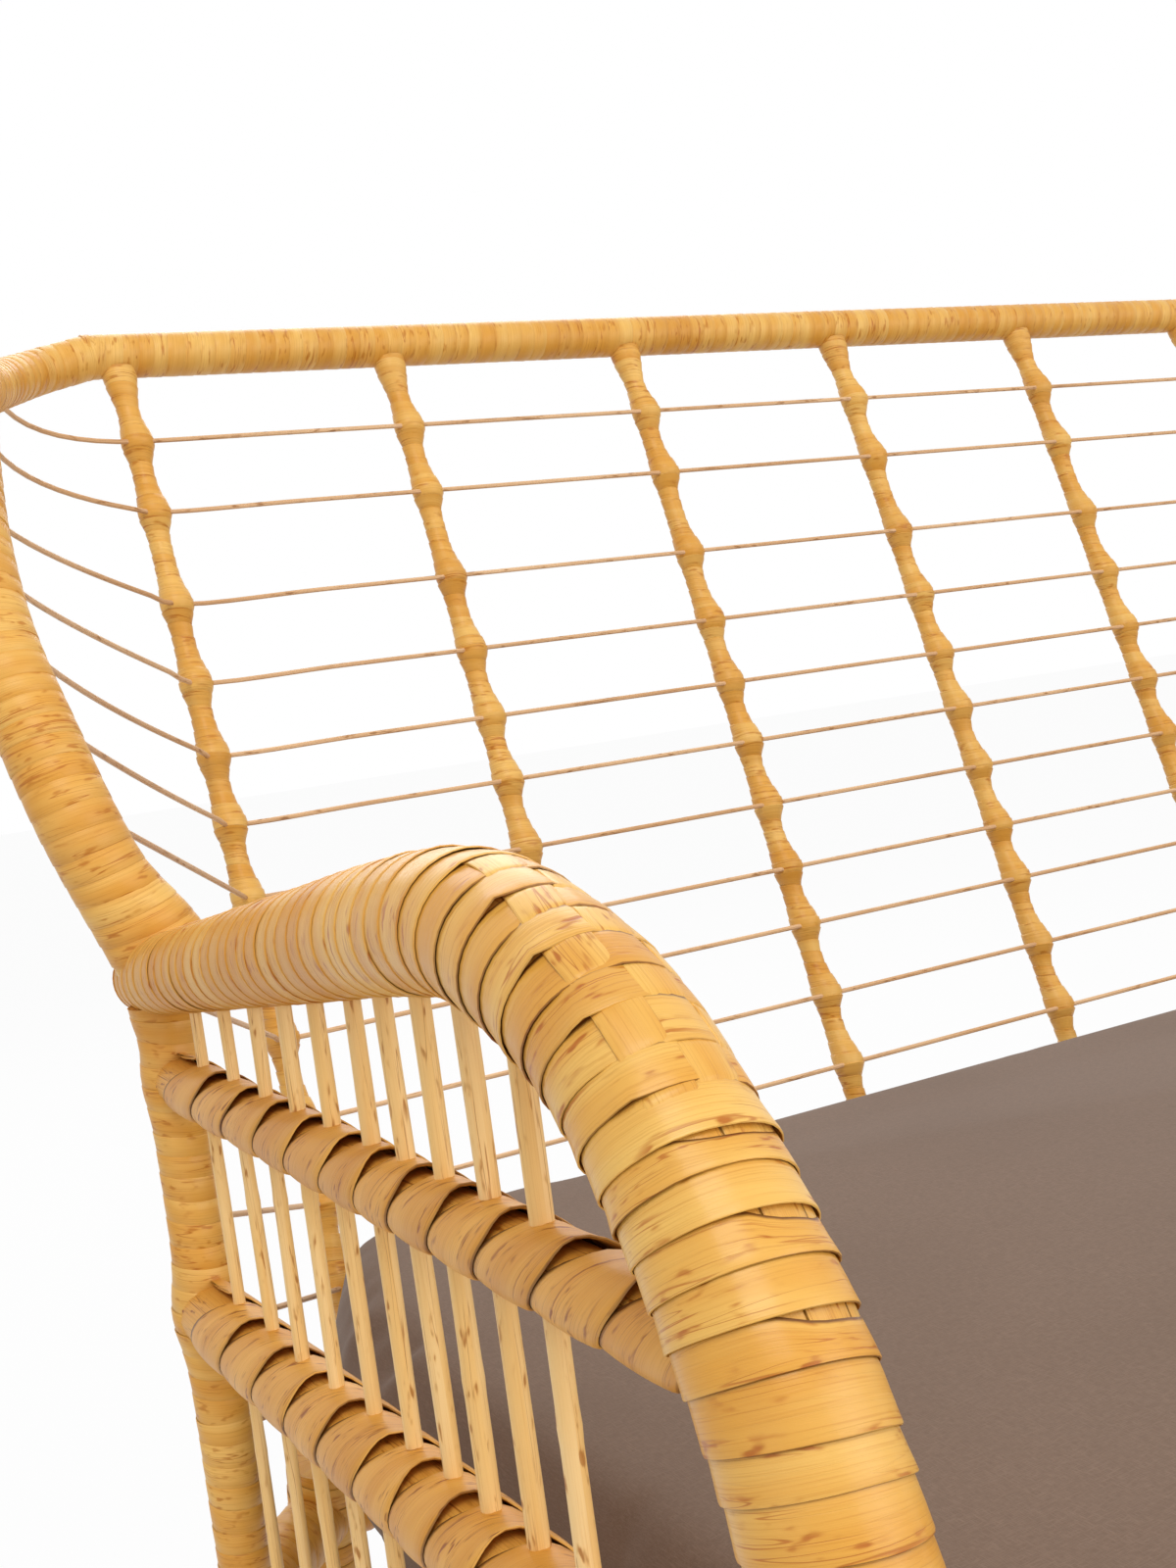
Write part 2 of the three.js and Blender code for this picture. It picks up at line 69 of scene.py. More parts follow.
class Tone:
    """One value in a finish's node tree. Arithmetic on it adds Math nodes to that tree."""

    def __init__(self, tree, socket=None):
        self.tree = tree
        self.socket = socket

    def node(self, kind, settings, values, output=0):
        """Adds a node: its settings first, then a value or a link for each named or numbered socket."""
        made = self.tree.nodes.new(kind)
        for name, setting in settings.items():
            setattr(made, name, setting)
        for name, value in values.items():
            if isinstance(value, Tone):
                self.tree.links.new(value.socket, made.inputs[name])
            else:
                made.inputs[name].default_value = value
        return Tone(self.tree, made.outputs[output] if made.outputs else None)

    def worked(self, operation, first, second):
        """A Math node's result from two values."""
        return self.node("ShaderNodeMath", {"operation": operation}, {0: first, 1: second})

    def __add__(self, other):
        return self.worked("ADD", self, other)

    def __radd__(self, other):
        return self.worked("ADD", other, self)

    def __sub__(self, other):
        return self.worked("SUBTRACT", self, other)

    def __rsub__(self, other):
        return self.worked("SUBTRACT", other, self)

    def __mul__(self, other):
        return self.worked("MULTIPLY", self, other)

    def __rmul__(self, other):
        return self.worked("MULTIPLY", other, self)

    def between(self, low, high):
        """0 below the low value, 1 above the high one, and a smooth rise between them."""
        return self.node("ShaderNodeMapRange", {"interpolation_type": "SMOOTHSTEP"},
                         {"Value": self, "From Min": low, "From Max": high})

    def stretched(self, sizes):
        """A place, each of its parts multiplied by one of three sizes."""
        return self.node("ShaderNodeVectorMath", {"operation": "MULTIPLY"}, {0: self, 1: sizes})

    def clouds(self, detail=2.0, roughness=0.5):
        """Soft noise from 0 to 1 at a place."""
        return self.node("ShaderNodeTexNoise", {},
                         {"Vector": self, "Scale": 1.0, "Detail": detail, "Roughness": roughness})

    def dyed(self, first, second):
        """The first colour where this value is 0, the second where it is 1."""
        return self.node("ShaderNodeMix", {"data_type": "RGBA"}, {0: self, 6: first, 7: second}, 2)


def linear(red, green, blue):
    """A colour given in steps of 255 as the eye sees it, as the light that a material holds."""
    return tuple((value / 255) ** 2.2 for value in (red, green, blue)) + (1.0,)


def new_material(name):
    """An empty material, and a Tone to build its tree from."""
    material = bpy.data.materials.new(name)
    material.use_nodes = True
    material.node_tree.nodes.clear()
    return material, Tone(material.node_tree)


def looked_at(start):
    """1 where a surface is seen directly, in a mirror or through something clear, and 0 where it only lights
    or shades another one."""
    seen = start.node("ShaderNodeLightPath", {}, {}, 0)
    mirrored = start.node("ShaderNodeLightPath", {}, {}, 3)
    through = start.node("ShaderNodeLightPath", {}, {}, 6)
    return seen.worked("MAXIMUM", seen, seen.worked("MAXIMUM", mirrored, through))


floor_reach = 14.0
floor_material, start = new_material("studio_floor")
paper = start.node("ShaderNodeBsdfDiffuse", {}, {"Color": (0.68, 0.68, 0.68, 1.0)})
white = start.node("ShaderNodeEmission", {}, {"Color": (1.0, 1.0, 1.0, 1.0), "Strength": 1.0})
whitened = looked_at(start) * 0.95
shown = start.node("ShaderNodeMixShader", {}, {0: whitened, 1: paper, 2: white})
start.node("ShaderNodeOutputMaterial", {}, {"Surface": shown})
floor_mesh = bpy.data.meshes.new("studio_floor")
floor_mesh.from_pydata([(x, y, 0.0) for x, y in ((-1, -1), (1, -1), (1, 1), (-1, 1))], [], [(0, 1, 2, 3)])
floor_mesh.transform(Matrix.Scale(floor_reach, 4))
floor_mesh.materials.append(floor_material)
floor = bpy.data.objects.new("studio_floor", floor_mesh)
bpy.context.scene.collection.objects.link(floor)

sky = bpy.data.worlds.new("studio_light")
sky.use_nodes = True
sky.node_tree.nodes.clear()
start = Tone(sky.node_tree)
sky_strength = looked_at(start) * 0.44 + 0.56
glow = start.node("ShaderNodeBackground", {}, {"Color": (1.0, 1.0, 1.0, 1.0), "Strength": sky_strength})
start.node("ShaderNodeOutputWorld", {}, {"Surface": glow})
bpy.context.scene.world = sky

for name, place, target, size, power in (
    ("soft_box_above", (-1.35, -1.5, 2.7), (-0.4, 0.0, 0.5), 1.6, 33.0),
    ("soft_box_front", (2.2, -2.6, 1.8), (0.0, 0.0, 0.5), 2.0, 21.0),
    ("soft_box_low_front", (0.5, -2.6, 1.2), (0.0, 0.4, 0.9), 1.6, 17.0),
    ("soft_box_left", (-3.0, -1.1, 0.9), (-0.6, -0.2, 0.5), 1.8, 4.0),
    ("soft_box_behind", (0.3, 2.6, 2.4), (0.0, 0.2, 0.6), 2.4, 40.0),
):
    lamp_data = bpy.data.lights.new(name, "AREA")
    lamp_data.size = size
    lamp_data.energy = power
    lamp = bpy.data.objects.new(name, lamp_data)
    aim = np.array(target) - np.array(place)
    aim = aim / np.linalg.norm(aim)
    across = np.cross(aim, (0.0, 0.0, 1.0))
    across = across / np.linalg.norm(across)
    turned = np.eye(4)
    turned[:3, :3] = np.stack([across, np.cross(across, aim), -aim], axis=1)
    turned[:3, 3] = place
    lamp.matrix_world = Matrix(turned.tolist())
    bpy.context.scene.collection.objects.link(lamp)

# Arms and front legs: one thick rattan cane each, bent down at the front and wound from tail to foot
# with wide strips of peel. Over the bend three long strips are woven in and out of the wraps.
arm_plane = -0.7
arm_line = [
    (0.114, 0.5812), (0.0222, 0.5938), (-0.1104, 0.6120), (-0.1920, 0.6232), (-0.2450, 0.6270),
    (-0.2813, 0.6195), (-0.3088, 0.6082), (-0.3297, 0.5925), (-0.3506, 0.5687), (-0.3705, 0.5367),
    (-0.3848, 0.4972), (-0.3935, 0.4389), (-0.3960, 0.3511), (-0.3960, 0.1881), (-0.3960, 0.0083),
]
arm_radii = (0.0170, 0.0205, 0.0190)
arm_peel = 0.0006
pattern_step = 7.3
strip_section = np.array(((0.0, 0.15), (0.012, 0.75), (0.05, 0.97), (0.25, 1.02), (0.5, 1.06), (0.75, 1.02),
                          (0.95, 0.97), (0.988, 0.75), (1.0, 0.15), (0.93, 0.0), (0.5, 0.0), (0.07, 0.0)))


def smooth_line(points, count=600):
    """Centripetal Catmull-Rom curve through the points: each span is a cubic whose end slopes come from the
    points beside it, with the spans timed by the square roots of their lengths."""
    points = np.asarray(points, float)
    if len(points) == 2:
        return points[0] + (points[1] - points[0]) * np.linspace(0, 1, count)[:, None]
    held = np.vstack([2 * points[0] - points[1], points, 2 * points[-1] - points[-2]])
    gaps = np.sqrt(np.linalg.norm(np.diff(held, axis=0), axis=1))[:, None]
    before, here, after, beyond = held[:-3], held[1:-2], held[2:-1], held[3:]
    first, middle, last = gaps[:-2], gaps[1:-1], gaps[2:]
    leave = ((here - before) / first - (after - before) / (first + middle)) * middle + (after - here)
    reach = ((beyond - after) / last - (beyond - here) / (middle + last)) * middle + (after - here)
    share = np.linspace(0, 1, 1 + count // len(here), endpoint=False)[None, :, None]
    spans = (2 * share**3 - 3 * share**2 + 1) * here[:, None]
    spans = spans + (share**3 - 2 * share**2 + share) * leave[:, None]
    spans = spans + (3 * share**2 - 2 * share**3) * after[:, None]
    spans = spans + (share**3 - share**2) * reach[:, None]
    return np.vstack([spans.reshape(-1, points.shape[1]), points[-1]])


def smooth_step(low, high, value):
    """0 below the low value, 1 above the high one, 3t^2 - 2t^3 between them."""
    share = np.clip((value - low) / (high - low), 0, 1)
    return share * share * (3 - 2 * share)


def unit(vectors):
    """Each vector divided by its own length."""
    return vectors / np.linalg.norm(vectors, axis=-1, keepdims=True)


class Cane:
    """The centre line of a cane. Upwards is a given direction made square to the cane, and sideways is square
    to both, so a place on the cane is a distance along it, a turn round it and a radius."""

    def __init__(self, points, upwards, count=600):
        self.line = smooth_line(points, count)
        self.reach = np.concatenate([[0], np.cumsum(np.linalg.norm(np.diff(self.line, axis=0), axis=1))])
        self.length = self.reach[-1]
        along = unit(np.gradient(self.line, self.reach, axis=0))
        up = np.broadcast_to(np.asarray(upwards, float), along.shape)
        self.up = unit(up - along * np.sum(up * along, axis=1, keepdims=True))
        self.side = np.cross(along, self.up)
        self.along = along

    def read(self, table, reach):
        """The table holds a row for each point of the line, and is read at a distance along it."""
        return np.stack([np.interp(reach, self.reach, column) for column in table.T], axis=-1)

    def place(self, reach, turn, radius):
        """Centre line point plus the radius times (cos turn upwards + sin turn sideways)."""
        reach, turn, radius = np.broadcast_arrays(reach, turn, radius)
        beyond = (np.minimum(reach, 0) + np.maximum(reach - self.length, 0))[..., None]
        outwards = np.cos(turn)[..., None] * self.read(self.up, reach)
        outwards = outwards + np.sin(turn)[..., None] * self.read(self.side, reach)
        line = self.read(self.line, reach) + beyond * self.read(self.along, reach)
        return line + radius[..., None] * outwards


def sleeve(points, along, across, edge):
    """A closed skin over rows of points, each row a closed loop: quads between the rows, fans at both ends.
    The strip map holds the distances along and across the peel, and edge runs from 0 at the tucked edge of a
    strip to 1 at its proud edge."""
    rows, columns = points.shape[:2]
    row, column = np.meshgrid(np.arange(rows - 1), np.arange(columns), indexing="ij")
    following = (column + 1) % columns
    quads = np.stack([row * columns + column, (row + 1) * columns + column,
                      (row + 1) * columns + following, row * columns + following], axis=-1).reshape(-1, 4)
    along = np.broadcast_to(along, (rows, columns + 1))
    across = np.broadcast_to(across, (rows, columns + 1))
    places = np.stack([along, across], axis=-1)
    quad_map = np.stack([places[row, column], places[row + 1, column],
                         places[row + 1, column + 1], places[row, column + 1]], axis=2).reshape(-1, 2)
    step = np.arange(columns)
    ends = []
    end_maps = []
    for base, tip in ((0, rows * columns), ((rows - 1) * columns, rows * columns + 1)):
        ends.append(np.stack([np.full(columns, tip), base + step, base + (step + 1) % columns], axis=1))
        strip = places[base // columns]
        end_maps.append(np.stack([strip[:-1], strip[:-1], strip[1:]], axis=1).reshape(-1, 2))
    tips = np.stack([points[0].mean(axis=0), points[-1].mean(axis=0)])
    edge = np.broadcast_to(edge, (rows, columns))
    return {
        "points": np.vstack([points.reshape(-1, 3), tips]),
        "faces": quads.tolist() + np.vstack(ends).tolist(),
        "strip": np.vstack([quad_map] + end_maps),
        "edge": np.concatenate([edge.reshape(-1), [0.5, 0.5]]),
    }


def pressed_in(place, low, high):
    """Places past either end of the span come back to it, most of the way."""
    way_back = 0.985
    for end, sign in ((low, -1), (high, 1)):
        past = np.maximum(sign * (place - end), 0)
        place = place - sign * past * way_back
    return place


def wound(cane, seams, span, radius, peel, wander=0.0, slices=36, tilt=0.5, swell=None, curl=0.0,
          slits=(), seed=0, section=strip_section, shows=lambda place: 1.0):
    """A strip of peel wound round a cane. The seams are the places along the cane, a turn apart, that its
    proud edge passes, and it wanders off them a little. Its other edge is tucked under the wrap before by
    the overlap. The proud edge rides up by tilt, lifts by curl here and there, and leaves a slit where it
    stands off. Where the seams show less, the strip lies flatter and its edges carry less of the painted
    shade and painted highlight that the finish puts there."""
    overlap = 0.0012
    random = np.random.default_rng(seed)
    turns = np.linspace(0, len(seams) - 1, (len(seams) - 1) * slices + 1)[:, None]
    share, height = section.T
    drift = random.uniform(-1, 1, 3 * len(seams) + 6)
    known = np.concatenate([[2 * seams[0] - seams[1]], seams])

    def seam(turns):
        knot = (turns + 1) * 3
        before = np.floor(knot).astype(int)
        rest = smooth_step(0, 1, knot - before)
        loose = drift[before] * (1 - rest) + drift[before + 1] * rest
        return np.interp(turns, np.arange(-1, len(seams)), known) + wander * loose

    proud = seam(turns)
    tucked = seam(turns - 1) - overlap
    for slit_turn, slit_width, opening in slits:
        tucked = tucked + (opening + overlap) * np.exp(-(((turns - 1 - slit_turn) / slit_width) ** 4))
    place = pressed_in(tucked + (proud - tucked) * share, span[0], span[1])
    core = radius(place) - peel * 1.5
    rise = peel * (height + tilt * shows(place) ** 3 * (2 * share - 1))
    knots = random.uniform(-1.6, 1.0, len(seams) * 5 + 2)
    lift = np.interp(turns[:, 0] * 5, np.arange(len(knots)), np.maximum(knots, 0))[:, None]
    rise = rise + curl * lift * smooth_step(0.45, 1.0, share)
    turn = -2 * math.pi * turns
    if swell is not None:
        rise = rise + swell(turns, turn, share, place)
    points = cane.place(place, turn, core + rise)
    around = 2 * math.pi * np.mean(radius(np.array([cane.length / 2])))
    across = np.append(share, share[0]) * float(np.mean(np.diff(seams)))
    return sleeve(points, turns * around + pattern_step * seed, across, 0.5 + (share - 0.5) * shows(place))


def tube(cane, radius, span=None, sides=16, rows=80, seed=0):
    """A round cane: rings of the given radius along the centre line, its ends closed."""
    span = span or (0.0, cane.length)
    reach = np.linspace(span[0], span[1], rows)[:, None]
    turn = np.linspace(0, 2 * math.pi, sides, endpoint=False)
    points = cane.place(reach, turn, radius(reach) + 0 * turn)
    across = np.linspace(0, 2 * math.pi, sides + 1) * float(np.mean(radius(reach)))
    return sleeve(points, reach + pattern_step * seed, across, 0.5)


def even(radius):
    """The same radius all along a cane."""
    return lambda reach: radius + 0 * reach


def under(radius, peel):
    """The radius of a cane under its winding: 1.6 peels less than the radius over it."""
    return lambda reach: radius(reach) - peel * 1.6


def cane_finish(name, pale, honey, deep, fleck, seam, roughness, flecked=1.0, polish_and_rear_shade=False):
    """Peeled rattan: long grain and creases, pale and honey patches, short orange-brown flecks with a soft
    halo, painted shade along the tucked edge of a strip where it runs under the wrap before, and at its
    proud edge a cut painted pale as a highlight in some places and brown as shade in others. Where the
    front polish is asked for, the cane has a coat at the front of the sofa that thins out towards the
    rear, and painted shade deepens its colour towards the rear."""
    material, start = new_material(name)
    strip = start.node("ShaderNodeUVMap", {"uv_map": "strip"}, {})
    edge = start.node("ShaderNodeAttribute", {"attribute_name": "edge"}, {}, 2)
    grain = strip.stretched((24.0, 2300.0, 1.0)).clouds(3.0, 0.6)
    folds = strip.stretched((13.0, 330.0, 1.0)).clouds(1.5) - 0.5
    crease = 1 - folds.worked("ABSOLUTE", folds, 0.0).between(0.002, 0.014)
    patches = strip.stretched((12.0, 75.0, 1.0)).clouds(2.0)
    drift = strip.stretched((2.3, 9.0, 1.0)).clouds(1.0)
    spots = strip.stretched((120.0, 430.0, 1.0)).clouds(1.5)
    groups = strip.stretched((26.0, 120.0, 1.0)).clouds(1.0).between(0.43, 0.58)
    flecks = spots.between(0.61, 0.7) * groups * flecked
    colour = patches.between(0.3, 0.74).dyed(honey, pale)
    colour = (drift.between(0.4, 0.75) * 0.36).dyed(colour, deep)
    colour = (grain.between(0.46, 0.74) * 0.45).dyed(colour, deep)
    colour = (crease * groups * 0.75).dyed(colour, fleck)
    colour = (spots.between(0.55, 0.66) * groups * 0.5).dyed(colour, deep)
    colour = (flecks * 0.85).dyed(colour, fleck)
    # Painted shade: the seam colour darkens the tucked edge of each strip, where it runs under the wrap
    # before.
    colour = ((1 - edge.between(0.05, 0.13)) * 0.85).dyed(colour, seam)
    # Painted highlight and painted shade at the proud edge: its cut is pale in some places and brown in
    # others.
    cut_highlight_and_shade = patches.between(0.45, 0.55).dyed(seam, pale)
    colour = (edge.between(0.975, 0.99) * 0.6).dyed(colour, cut_highlight_and_shade)
    polish = 0.08
    if polish_and_rear_shade:
        place = start.node("ShaderNodeTexCoord", {}, {}, 3)
        rearward = start.node("ShaderNodeSeparateXYZ", {}, {0: place}, 1).between(-0.26, -0.06)
        # Painted shade: towards the rear of the sofa the colour deepens.
        colour = (rearward * 0.3).dyed(colour, deep)
        polish = (1 - rearward) * 0.34
    height = grain * 0.6 - flecks * 0.5 + patches * 0.5 - crease * 0.35
    bump = start.node("ShaderNodeBump", {}, {"Strength": 0.4, "Distance": 0.0004, "Height": height})
    surface = start.node("ShaderNodeBsdfPrincipled", {}, {
        "Base Color": colour, "Roughness": grain * 0.2 + (roughness - 0.1), "Normal": bump,
        "Specular IOR Level": 0.27, "Coat Weight": polish, "Coat Roughness": 0.24})
    start.node("ShaderNodeOutputMaterial", {}, {"Surface": surface})
    return material


def made(name, parts, material, slot, nodes, mirror=False):
    """One piece from its skins, as a mesh at the sofa's own place, riding on the frame for its CAD nodes."""
    mesh = bpy.data.meshes.new(name)
    shift = np.cumsum([0] + [len(part["points"]) for part in parts])
    points = np.vstack([part["points"] for part in parts])
    if mirror:
        points = points * (-1, 1, 1)
    faces = [[corner + base for corner in face] for part, base in zip(parts, shift) for face in part["faces"]]
    mesh.from_pydata(points.tolist(), [], faces)
    layer = mesh.uv_layers.new(name="strip")
    layer.data.foreach_set("uv", np.vstack([part["strip"] for part in parts]).astype(np.float32).ravel())
    edge = mesh.attributes.new("edge", "FLOAT", "POINT")
    edge.data.foreach_set("value", np.concatenate([part["edge"] for part in parts]).astype(np.float32))
    shell = bmesh.new()
    shell.from_mesh(mesh)
    bmesh.ops.recalc_face_normals(shell, faces=shell.faces)
    shell.to_mesh(mesh)
    shell.free()
    mesh.polygons.foreach_set("use_smooth", [True] * len(mesh.polygons))
    mesh.set_sharp_from_angle(angle=math.radians(38))
    mesh.materials.append(material)
    piece = bpy.data.objects.new(name, mesh)
    bpy.context.scene.collection.objects.link(piece)
    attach(piece, "root")
    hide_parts(*nodes)
    return piece


def made_pair(name, parts, material, slot, node):
    """The same piece for both sides, mirrored for the right one. The names have a gap for the side."""
    for side in ("left", "right"):
        made(name.format(side), parts, material, slot, [node.format(side)], side == "right")


wrapped_cane = cane_finish("wrapped_cane", linear(236, 188, 98), linear(220, 156, 60), linear(190, 120, 34),
                           linear(174, 94, 14), linear(84, 38, 10), 0.42, polish_and_rear_shade=True)
rail_cane = cane_finish("rail_cane", linear(238, 190, 104), linear(222, 158, 66), linear(192, 122, 38),
                        linear(174, 94, 14), linear(84, 38, 10), 0.42, flecked=0.5)

arm = Cane([(arm_plane, y, z) for y, z in arm_line], (0.0, -1.0, 1.0), 1200)


def arm_radius(reach):
    """Swells from tail to crest and thins again to the leg. The tail draws in where the wing's foot hides
    it."""
    share = reach / arm.length
    swollen = arm_radii[0] + (arm_radii[1] - arm_radii[0]) * smooth_step(0, 0.4, share)
    drawn_in = 0.002 * smooth_step(0.034, 0.008, reach)
    return swollen + (arm_radii[2] - arm_radii[1]) * smooth_step(0.4, 0.6, share) - drawn_in


arm_tail = 0.0081
first_wrap = -35
wrap_numbers = np.arange(first_wrap, 71)
fitted_wraps = [first_wrap] + list(range(-1, 14)) + [70]
fitted_seams = [-0.0238, 0.374, 0.386, 0.399, 0.411, 0.422, 0.433, 0.442, 0.454, 0.463, 0.4735, 0.481,
                0.491, 0.500, 0.510, 0.5205, 1.1]
arm_seams = np.interp(wrap_numbers, fitted_wraps, fitted_seams)
calm = smooth_step(0.05, 0.1, np.abs(arm_seams - 0.44))
arm_seams = arm_seams + calm * np.random.default_rng(11).uniform(-0.0016, 0.0016, len(arm_seams))
arm_slits = [(turn - first_wrap, width, opening) for turn, width, opening in (
    (8.03, 0.11, 0.0013), (10.07, 0.09, 0.0022), (12.08, 0.12, 0.0024))]
column_breadth = math.radians(36)
columns_drift = math.radians(19)
weave_span = (0.373, 0.4645)
columns_end = 0.522


def column_at(turn, place):
    """Which long strip lies at a turn round the arm: 0 is the middle of the first. The strips drift
    outwards on their way down the bend."""
    round_arm = (turn + math.pi) % (2 * math.pi) - math.pi
    return (columns_drift * smooth_step(0.375, 0.428, place) - round_arm) / column_breadth


def arm_swell(turns, turn, share, place):
    """A wrap rises by one peel over a long strip and stays down under one. Beside the first long strip its
    proud edge stands off, because it comes down there more slowly than the wrap after it."""
    number = np.round(turns) + first_wrap
    column = column_at(turn, place)
    beside = np.clip(np.round(column), 0, 2)
    woven = ((number >= 0) & (number <= 7)) * 1.0
    lane = smooth_step(weave_span[0] - 0.012, weave_span[0], place)
    lane = lane * smooth_step(columns_end + 0.012, columns_end, place)
    inner = smooth_step(0.5, 0.4, np.abs(column - beside))
    sunk = ((number + beside) % 2 == 0) * woven * np.where(beside == 1, inner, 1)
    high = smooth_step(-0.95, -0.5, column) * smooth_step(2.8, 2.5, column)
    low = smooth_step(-0.52, -0.42, column) * smooth_step(2.52, 2.42, column)
    even_wrap = number % 2 == 0
    level = 1.05 * np.where(even_wrap & (woven > 0.5), low, high) * lane * (1 - sunk)
    stands_off = 2.0 * np.exp(-(((column + 0.68) / 0.26) ** 2)) * smooth_step(0.5, 1.0, share)
    stands_off = stands_off * woven * ~even_wrap
    settled = -0.35 * (2 * share - 1) * low * woven
    slit_side = 0.9 * np.exp(-(((column - 0.4) / 1.6) ** 4)) * smooth_step(0.7, 1.0, share)
    slit_side = slit_side * np.isin(number, (8, 10, 12))
    return arm_peel * (level + stands_off + settled + slit_side)


arm_parts = [
    tube(arm, under(arm_radius, arm_peel), (arm_tail, arm.length), sides=24, rows=120),
    wound(arm, arm_seams, (arm_tail, arm.length), arm_radius, arm_peel, wander=0.0007, tilt=0.75,
          swell=arm_swell, curl=0.0005, slits=arm_slits, seed=3,
          shows=lambda place: 0.77 + 0.23 * smooth_step(0.33, 0.39, place)),
]
for column in range(3):
    reach = np.linspace(weave_span[0] - 0.008, columns_end, 260)[:, None]
    share, height = strip_section.T
    middle = columns_drift * smooth_step(0.375, 0.428, reach) - column_breadth * column
    number = np.interp(reach, arm_seams, wrap_numbers) + 0.5 + middle / (2 * math.pi)
    over = 0.5 + 0.5 * np.tanh(4 * np.cos(math.pi * (number + column))) / math.tanh(4)
    over = over * smooth_step(weave_span[0] - 0.001, weave_span[0] + 0.002, reach)
    over = over * smooth_step(weave_span[1] + 0.002, weave_span[1] - 0.001, reach)
    turn = middle + (share - 0.5) * column_breadth * 0.97
    core = arm_radius(reach) - arm_peel * 1.5
    points = arm.place(reach, turn, core + arm_peel * (height + 1.2 * over - 0.05))
    across = np.append(share, share[0]) * 0.0125
    arm_parts.append(sleeve(points, reach * 1.13 + 2.9 * column, across, 0.5 + 0.5 * np.abs(2 * share - 1)))

made_pair("wound_{}_arm", arm_parts, wrapped_cane, "wrapped_cane", "{}_arm")

# Top rail: a straight cane over the heads of the spokes, wound with narrower peel from end to end.
# The winding runs a little past both ends, where the wing rails take it up.
rail_peel = 0.0005
rail_radius = 0.013
rail_seams_show = 0.84
top_rail = Cane([(-0.61, 0.402, 0.904), (0.61, 0.402, 0.904)], (0.0, 0.0, 1.0))
slim_section = np.array(((0.0, 0.3), (0.04, 0.9), (0.5, 1.08), (0.96, 0.9), (1.0, 0.3), (0.5, 0.0)))


def even_seams(span, pitch, loose=0.0, seed=0):
    """Places a pitch apart, from a turn and a half before the span to as far after it, each a little off
    its place."""
    count = int(round((span[1] - span[0]) / pitch)) + 4
    seams = np.linspace(span[0] - 1.5 * pitch, span[1] + 1.5 * pitch, count)
    return seams + np.random.default_rng(seed).uniform(-loose, loose, count)


top_span = (-0.004, top_rail.length + 0.004)
made("wound_top_rail", [
    tube(top_rail, under(even(rail_radius), rail_peel), top_span, rows=4),
    wound(top_rail, even_seams(top_span, 0.0092, 0.0007, 21), top_span, even(rail_radius), rail_peel,
          wander=0.0005, slices=26, curl=0.0002, seed=5, section=slim_section,
          shows=lambda place: rail_seams_show),
], rail_cane, "wrapped_cane", ["top_rail"])

# Wing rails: the same line of cane, thicker, swept round each corner, forwards and down on to the
# tail of the arm, and wound with the same peel.
wing_shares = [
    (0, 0, 0), (0.33, 0.02, 0.025), (0.63, 0.11, 0.06), (0.89, 0.27, 0.1), (1.08, 0.45, 0.135),
    (1.23, 0.6, 0.19), (1.36, 0.735, 0.285), (1.43, 0.825, 0.415), (1.43, 0.895, 0.55), (1.34, 0.95, 0.69),
    (1.24, 0.99, 0.815), (1, 1, 1),
]
wing_start = np.array([-0.6103, 0.402, 0.904])
wing_end = np.array([-0.7, 0.088, 0.5918])
wing = Cane(wing_start + (wing_end - wing_start) * np.array(wing_shares), (1.0, -1.0, 0.3), 900)


def wing_radius(reach):
    """Grows from the top rail's radius to the arm's."""
    return rail_radius + 0.004 * smooth_step(0, 0.5, reach / wing.length)


def foot_binding(turns, turn, share, place):
    """The wraps that bind the foot down on the arm fill the corner in front of it: over the last 45 mm they
    swell by up to 8 mm, as the square of the cosine of the turn."""
    facing = np.clip(np.cos(turn + 0.2), 0, 1) ** 2
    return 0.008 * facing * smooth_step(wing.length - 0.045, wing.length - 0.002, place)


wing_span = (-0.002, wing.length + 0.012)
wing_parts = [
    tube(wing, under(wing_radius, rail_peel), wing_span, rows=90),
    wound(wing, even_seams(wing_span, 0.0096, 0.0008, 22), wing_span, wing_radius, rail_peel, wander=0.0006,
          slices=28, swell=foot_binding, curl=0.0002, seed=6, section=slim_section,
          shows=lambda place: rail_seams_show),
]
made_pair("wound_{}_wing_rail", wing_parts, rail_cane, "wrapped_cane", "{}_wing_rail")

# Spokes: eight thin canes from the rear seat rail up to the top rail, leaning back, each wound with a
# narrow strip that also ties a rod to its front at every crossing, in a knot that stands out.
lean = math.radians(18.3)
back_foot = np.array([0.0, 0.19894, 0.29])
back_up = np.array([0.0, math.sin(lean), math.cos(lean)])
back_front = np.array([0.0, -math.cos(lean), math.sin(lean)])
spoke_places = [-0.595 + 0.17 * index for index in range(8)]
spoke_length = 0.6467
rod_heights = np.array([587.2, 542.6, 485.7, 437.8, 394.5, 354.4, 312.4, 270.3, 233.5, 188.8, 145.5, 101.5,
                        57.6]) / 1000
spoke_span = (0.012, 0.6365)
spoke_peel = 0.0007
spoke_core = 0.0052


def spoke_radius(reach):
    """Flares at the foot, where it sits on the rear seat rail, and at the head under the top rail."""
    flare = 0.0035 * (smooth_step(0.045, 0.014, reach) + smooth_step(0.608, 0.634, reach))
    return 0.0065 + flare


def knot(turns, turn, share, place):
    """The bulge at each rod: widest at the front, longer above the rod than below it."""
    gap = place[..., None] - rod_heights
    lump = np.exp(-(gap / np.where(gap > 0, 0.0135, 0.0075)) ** 2).sum(axis=-1)
    return lump * (0.0066 * (0.5 + 0.5 * np.cos(turn)) ** 1.6 + 0.0004)


